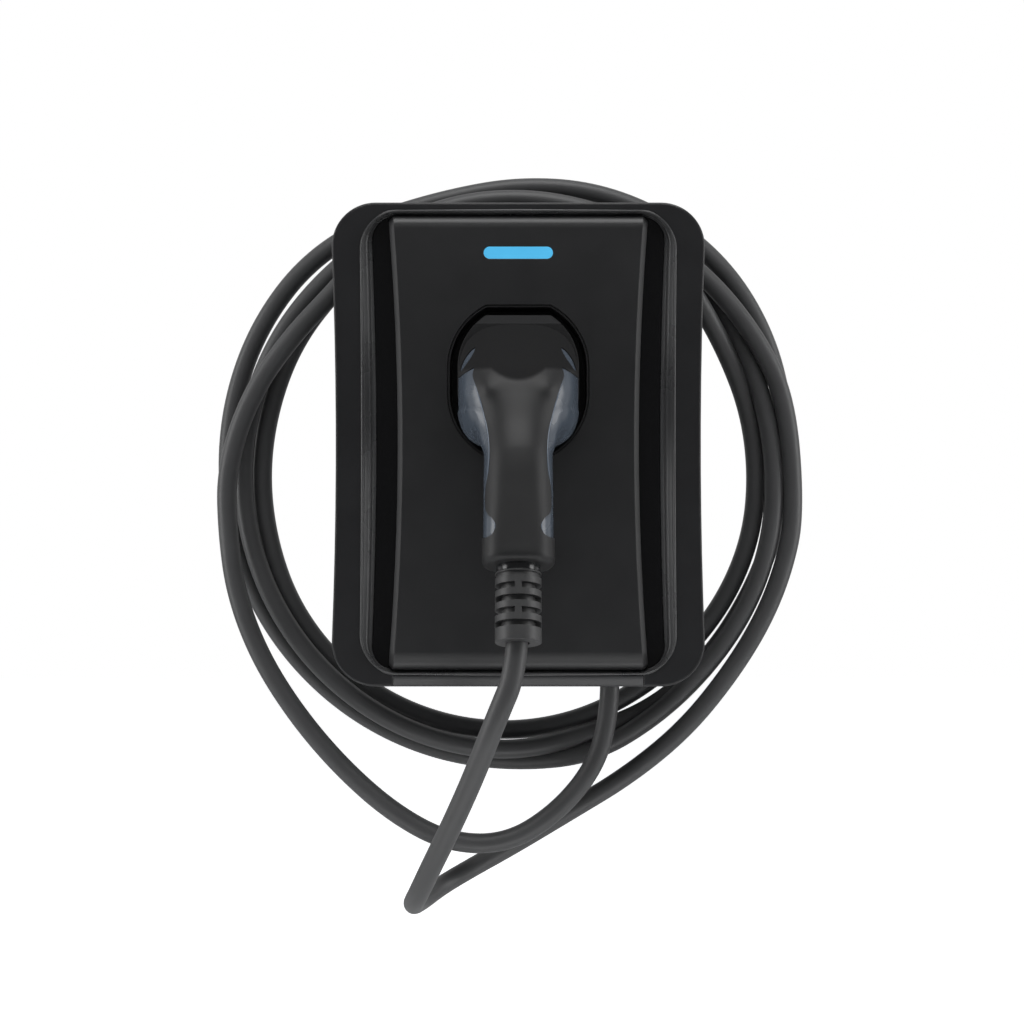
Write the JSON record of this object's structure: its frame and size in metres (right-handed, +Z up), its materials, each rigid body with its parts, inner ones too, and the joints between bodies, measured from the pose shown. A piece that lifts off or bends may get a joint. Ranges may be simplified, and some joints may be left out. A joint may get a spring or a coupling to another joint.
{
  "type": "ev wallbox",
  "caption": "Wall-mounted electric-car charger with a waisted bezel, a front holster that holds its connector, and the tethered cable wound round its rear neck.",
  "frame": {"origin": "middle of the rear face, on the wall's plane, at the middle of the bezel's height", "axes": "+Y into the wall, +Z up, +X to the right of someone who faces the charger"},
  "size_m": [0.4081, 0.1999, 0.5046],
  "materials": {
    "frame_plastic": "fine satin grain",
    "panel_plastic": "fine satin grain",
    "insert_gloss": "high gloss",
    "trim_plastic": "satin",
    "holster_plastic": "fine grain",
    "light_guide": "smooth, lit from behind",
    "seal_rubber": "matt",
    "screw_steel": "zinc plated",
    "circuit_board": "solder resist",
    "chip_white": "smooth",
    "relay_case": "moulded",
    "sensor_case": "moulded",
    "supply_case": "potted block",
    "shield_can": "tin plated",
    "chip_black": "moulded",
    "fuse_ceramic": "glazed",
    "capacitor_sleeve": "shrink sleeve",
    "terminal_green": "moulded",
    "core_sleeve": "smooth",
    "gland_nylon": "moulded",
    "cable_jacket": "satin jacket",
    "gun_shell": "satin",
    "gun_rubber": "satin over-mould",
    "gun_black": "satin",
    "contact_silver": "silver plated",
    "ring_gloss": "polished",
    "boot_rubber": "satin"
  },
  "bodies": {
    "root": {"rear_housing": "frame_plastic", "front_frame": "frame_plastic", "centre_panel": "panel_plastic", "side_insert_left": "insert_gloss", "side_insert_right": "insert_gloss", "bottom_trim": "trim_plastic", "holster_cup": "holster_plastic", "light_bar": "light_guide", "housing_gasket": "seal_rubber", "outlet_gland_seal": "seal_rubber", "supply_gland_seal": "seal_rubber", "frame_screws": "screw_steel", "panel_screws": "screw_steel", "board_screws": "screw_steel", "main_board": "circuit_board", "led_board": "circuit_board", "led_chips": "chip_white", "relay_line": "relay_case", "relay_neutral": "relay_case", "current_sensor": "sensor_case", "power_supply": "supply_case", "comms_module": "shield_can", "control_chip": "chip_black", "fuse": "fuse_ceramic", "capacitors": "capacitor_sleeve", "supply_terminals": "terminal_green", "outlet_terminals": "terminal_green", "outlet_cores": "core_sleeve", "outlet_gland_body": "gland_nylon", "outlet_gland_cap": "gland_nylon", "outlet_gland_nut": "gland_nylon", "supply_gland_body": "gland_nylon", "supply_gland_cap": "gland_nylon", "supply_gland_nut": "gland_nylon", "cable_lead_in": "cable_jacket", "cable_coil": "cable_jacket", "cable_lead_out": "cable_jacket", "gun_body": "gun_shell", "gun_grip": "gun_rubber", "gun_collar": "gun_black", "gun_nose": "gun_black", "gun_contacts": "contact_silver", "gun_neck_ring": "ring_gloss", "gun_boot": "boot_rubber"}
  },
  "joints": []
}
